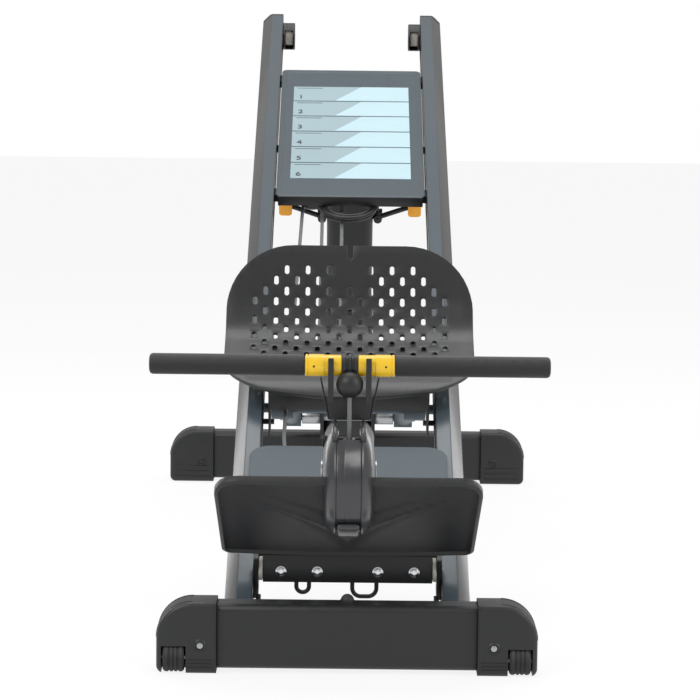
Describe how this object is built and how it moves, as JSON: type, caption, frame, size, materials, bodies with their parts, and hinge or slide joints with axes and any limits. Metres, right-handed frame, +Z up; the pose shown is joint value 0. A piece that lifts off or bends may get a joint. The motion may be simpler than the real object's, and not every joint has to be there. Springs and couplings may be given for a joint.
{
  "type": "seated incline rowing machine",
  "caption": "Incline rowing trainer: a seat on rollers runs up two sloped rails as a roped handle is pulled; adjustable rear column, tilting footplate, transport wheels.",
  "frame": {"origin": "centre of the footprint on the floor", "axes": "+X across the machine, +Y along it towards the high rear end, +Z up"},
  "size_m": [0.795, 2.2235, 1.0456],
  "materials": {
    "powder_coat": "satin powder coat",
    "rail_paint": "satin slate paint",
    "moulded_black": "fine grained moulding",
    "slate_plastic": "fine grained moulding",
    "yellow": "smooth",
    "orange_yellow": "smooth",
    "foam": "closed cell foam",
    "rubber": "dull",
    "steel": "brushed",
    "chrome": "bright",
    "nylon": "natural nylon",
    "rope": "braided",
    "placard": "laminated"
  },
  "bodies": {
    "stand": {"rear_beam": "powder_coat", "rear_caps": "moulded_black", "rear_cap_screws": "steel", "column": "powder_coat", "column_cheeks": "powder_coat", "arm_pivot_shaft": "chrome", "pivot_sleeves": "steel"},
    "post": {"post": "powder_coat", "head_yoke": "powder_coat", "lever_brackets": "powder_coat"},
    "lever_left": {"release_lever_left": "powder_coat", "lever_grip_left": "orange_yellow"},
    "lever_right": {"release_lever_right": "powder_coat", "lever_grip_right": "orange_yellow"},
    "rails": {"rail_left": "rail_paint", "rail_right": "rail_paint", "rail_end_caps": "moulded_black", "rail_pivot_blocks": "steel", "placard": "placard", "placard_frame": "powder_coat", "top_pulley_housings": "moulded_black", "cover_pad": "slate_plastic", "low_cross_member": "powder_coat", "mast_plates": "steel", "nose_axle": "steel", "nose_housing": "moulded_black", "cradle_blades": "steel", "cradle_body": "moulded_black", "drive_rope": "rope", "seat_rope": "rope", "handle_rope": "rope", "foot_pivot_ears": "powder_coat", "pivot_discs": "nylon", "guide_cables": "rope"},
    "top_pulleys": {"top_pulleys": "nylon"},
    "nose_pulley": {"nose_pulley": "nylon"},
    "head_sheave": {"head_sheave": "nylon"},
    "carriage_sheave": {"carriage_sheave": "nylon"},
    "front_base": {"front_beam": "powder_coat", "front_caps": "moulded_black", "front_cap_hardware": "steel", "beam_bumper": "rubber", "front_lugs": "powder_coat"},
    "wheel_left": {"transport_wheel_left": "rubber"},
    "wheel_right": {"transport_wheel_right": "rubber"},
    "arms": {"support_arms": "rail_paint"},
    "arm_rollers": {"arm_rollers": "nylon"},
    "seat": {"seat_shell": "moulded_black", "seat_carriage": "powder_coat"},
    "rollers_low": {"seat_rollers_low": "nylon"},
    "rollers_high": {"seat_rollers_high": "nylon"},
    "handle": {"handle_bar": "steel", "handle_grips": "foam", "handle_sleeves": "yellow", "handle_hub": "moulded_black", "rope_ball": "rubber"},
    "footplate": {"footplate": "moulded_black", "foot_bracket": "powder_coat", "foot_bracket_bolts": "chrome", "foot_cable": "rope"}
  },
  "joints": [
    {"name": "incline_slide", "type": "slide", "parent": "stand", "child": "post", "axis": [0, -0.4152, 0.9097], "range_m": [-0.2, 0]},
    {"name": "rails_pivot", "type": "hinge", "parent": "post", "child": "rails", "pos_m": [0, 0.54669, 0.76461], "axis": [1, 0, 0], "range_deg": [-7.02, 0.2]},
    {"name": "front_beam_pivot", "type": "hinge", "parent": "rails", "child": "front_base", "pos_m": [0, -0.94528, 0.08373], "axis": [1, 0, 0], "range_deg": [-0.2, 7.02]},
    {"name": "support_arm_pivot", "type": "hinge", "parent": "stand", "child": "arms", "pos_m": [0, 0.76825, 0.16], "axis": [1, 0, 0], "range_deg": [-0.2, 5.92]},
    {"name": "arm_roller_spin", "type": "hinge", "parent": "arms", "child": "arm_rollers", "pos_m": [0, -0.27454, 0.3241], "axis": [1, 0, 0], "continuous": true},
    {"name": "wheel_left_spin", "type": "hinge", "parent": "front_base", "child": "wheel_left", "pos_m": [-0.28, -1.04925, 0.025], "axis": [1, 0, 0], "continuous": true},
    {"name": "wheel_right_spin", "type": "hinge", "parent": "front_base", "child": "wheel_right", "pos_m": [0.28, -1.04925, 0.025], "axis": [1, 0, 0], "continuous": true},
    {"name": "lever_left_pull", "type": "hinge", "parent": "post", "child": "lever_left", "pos_m": [-0.0596, 0.60298, 0.61717], "axis": [0, 0.9097, 0.4152], "range_deg": [0, 10], "stiffness_Nm_per_rad": 4, "springref_deg": -5.73},
    {"name": "lever_right_pull", "type": "hinge", "parent": "post", "child": "lever_right", "pos_m": [0.0596, 0.60298, 0.61717], "axis": [0, -0.9097, -0.4152], "range_deg": [0, 10], "stiffness_Nm_per_rad": 4, "springref_deg": -5.73},
    {"name": "seat_slide", "type": "slide", "parent": "rails", "child": "seat", "axis": [0, 0.9097, 0.4152], "range_m": [0, 0.48], "deforming": ["seat_rope"]},
    {"name": "seat_rollers_low_spin", "type": "hinge", "parent": "seat", "child": "rollers_low", "pos_m": [0, -0.42673, 0.32038], "axis": [1, 0, 0], "continuous": true},
    {"name": "seat_rollers_high_spin", "type": "hinge", "parent": "seat", "child": "rollers_high", "pos_m": [0, -0.25843, 0.39719], "axis": [1, 0, 0], "continuous": true},
    {"name": "carriage_sheave_spin", "type": "hinge", "parent": "seat", "child": "carriage_sheave", "pos_m": [-0.037, -0.20601, 0.40517], "axis": [0, -0.4152, 0.9097], "continuous": true},
    {"name": "head_sheave_spin", "type": "hinge", "parent": "rails", "child": "head_sheave", "pos_m": [-0.077, 0.36349, 0.66507], "axis": [0, -0.4152, 0.9097], "continuous": true},
    {"name": "nose_pulley_spin", "type": "hinge", "parent": "rails", "child": "nose_pulley", "pos_m": [0, -1.01675, 0.315], "axis": [1, 0, 0], "continuous": true},
    {"name": "handle_pull", "type": "slide", "parent": "rails", "child": "handle", "axis": [0, 0.9397, 0.342], "range_m": [0, 0.96], "deforming": ["handle_rope"]},
    {"name": "footplate_tilt", "type": "hinge", "parent": "rails", "child": "footplate", "pos_m": [0, -0.91975, 0.146], "axis": [1, 0, 0], "range_deg": [-8, 8]},
    {"name": "top_pulley_spin", "type": "hinge", "parent": "rails", "child": "top_pulleys", "pos_m": [0, 1.04378, 0.99531], "axis": [1, 0, 0], "continuous": true}
  ],
  "couplings": [
    {"joint": "rails_pivot", "follows": "incline_slide", "rad_per_m": 0.59502},
    {"joint": "front_beam_pivot", "follows": "incline_slide", "rad_per_m": -0.59502},
    {"joint": "support_arm_pivot", "follows": "incline_slide", "rad_per_m": -0.49912},
    {"joint": "handle_pull", "follows": "seat_slide", "ratio": 2},
    {"joint": "seat_rollers_low_spin", "follows": "seat_slide", "rad_per_m": -58.48},
    {"joint": "seat_rollers_high_spin", "follows": "seat_slide", "rad_per_m": -58.48},
    {"joint": "carriage_sheave_spin", "follows": "seat_slide", "rad_per_m": -50},
    {"joint": "head_sheave_spin", "follows": "seat_slide", "rad_per_m": -100},
    {"joint": "nose_pulley_spin", "follows": "seat_slide", "rad_per_m": -32}
  ]
}
